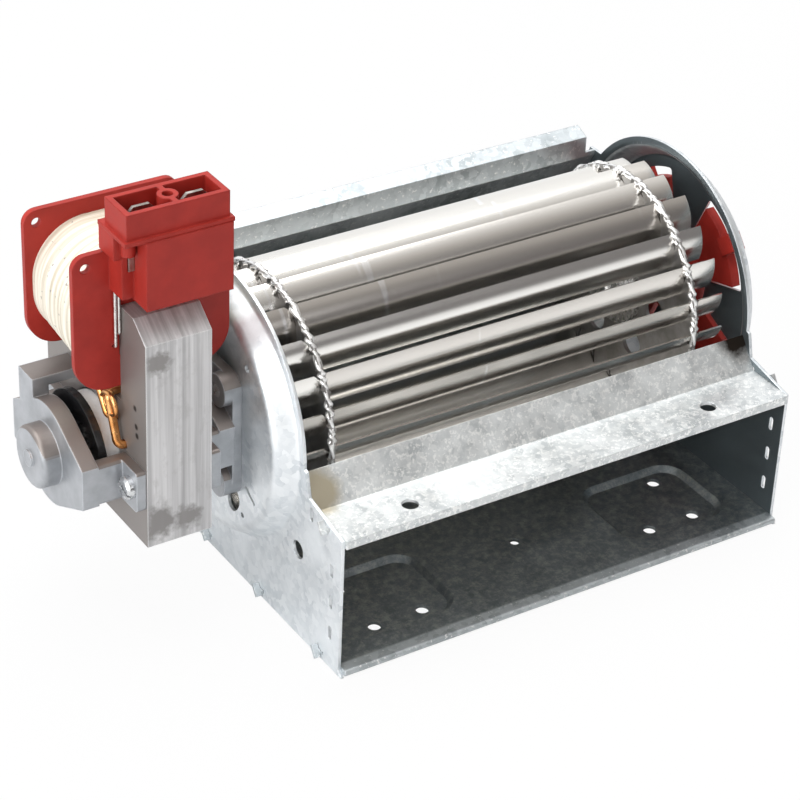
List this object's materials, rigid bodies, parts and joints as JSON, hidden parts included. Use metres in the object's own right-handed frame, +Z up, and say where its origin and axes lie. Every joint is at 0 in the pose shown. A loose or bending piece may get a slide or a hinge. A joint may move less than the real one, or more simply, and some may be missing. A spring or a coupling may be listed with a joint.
{
  "type": "cross flow fan",
  "caption": "Tangential blower with a sheet steel scroll casing, a long bladed aluminium wheel and an open frame shaded pole motor on one end.",
  "frame": {"origin": "middle of the four outer mounting holes, on the face the fan is bolted to", "axes": "+X along the wheel from the motor to the far bearing, -Y the way the air leaves the mouth, +Z up from the mounting face"},
  "size_m": [0.1848, 0.0937, 0.113],
  "materials": {
    "motor_side_plate": "spangled galvanised steel",
    "far_side_plate": "spangled galvanised steel",
    "scroll_sheet": "spangled galvanised steel",
    "tongue_sheet": "spangled galvanised steel",
    "blades": "bright rolled sheet",
    "motor_end_disc": "bright rolled sheet",
    "far_end_disc": "bright rolled sheet",
    "rotor_shaft": "ground",
    "stub_axle": "ground",
    "motor_end_hub": "turned",
    "far_end_hub": "turned",
    "hub_screw": "blackened",
    "outer_bearing": "sintered, oiled",
    "inner_bearing": "sintered, oiled",
    "far_bearing": "sintered, oiled",
    "bearing_retainers": "spring steel",
    "thrust_washers": "matt",
    "rotor_core": "laminated",
    "rotor_cage": "cast",
    "rotor_cap": "matt",
    "stator_core": "laminated, bare",
    "coil_core": "laminated, bare",
    "shading_rings": "copper",
    "outer_bracket": "die cast zinc",
    "inner_bracket": "die cast zinc",
    "stack_screws": "zinc plated",
    "mount_screws": "zinc plated",
    "coil_bobbin": "satin",
    "winding": "enamelled copper",
    "coil_tape": "matt",
    "winding_leads": "enamelled copper",
    "terminal_shroud": "satin",
    "tab_terminals": "tinned",
    "bearing_carrier": "satin",
    "rubber_bush": "matt"
  },
  "bodies": {
    "casing": {"motor_side_plate": "motor_side_plate", "far_side_plate": "far_side_plate", "scroll_sheet": "scroll_sheet", "tongue_sheet": "tongue_sheet", "outer_bearing": "outer_bearing", "inner_bearing": "inner_bearing", "far_bearing": "far_bearing", "bearing_retainers": "bearing_retainers", "thrust_washers": "thrust_washers", "stator_core": "stator_core", "coil_core": "coil_core", "shading_rings": "shading_rings", "outer_bracket": "outer_bracket", "inner_bracket": "inner_bracket", "stack_screws": "stack_screws", "mount_screws": "mount_screws", "coil_bobbin": "coil_bobbin", "winding": "winding", "coil_tape": "coil_tape", "winding_leads": "winding_leads", "terminal_shroud": "terminal_shroud", "tab_terminals": "tab_terminals", "bearing_carrier": "bearing_carrier", "rubber_bush": "rubber_bush"},
    "wheel": {"blades": "blades", "motor_end_disc": "motor_end_disc", "far_end_disc": "far_end_disc", "rotor_shaft": "rotor_shaft", "stub_axle": "stub_axle", "motor_end_hub": "motor_end_hub", "far_end_hub": "far_end_hub", "hub_screw": "hub_screw", "rotor_core": "rotor_core", "rotor_cage": "rotor_cage", "rotor_cap": "rotor_cap"}
  },
  "joints": [
    {"name": "wheel_spin", "type": "hinge", "parent": "casing", "child": "wheel", "pos_m": [0, 0.0325, 0.045], "axis": [1, 0, 0], "continuous": true}
  ]
}
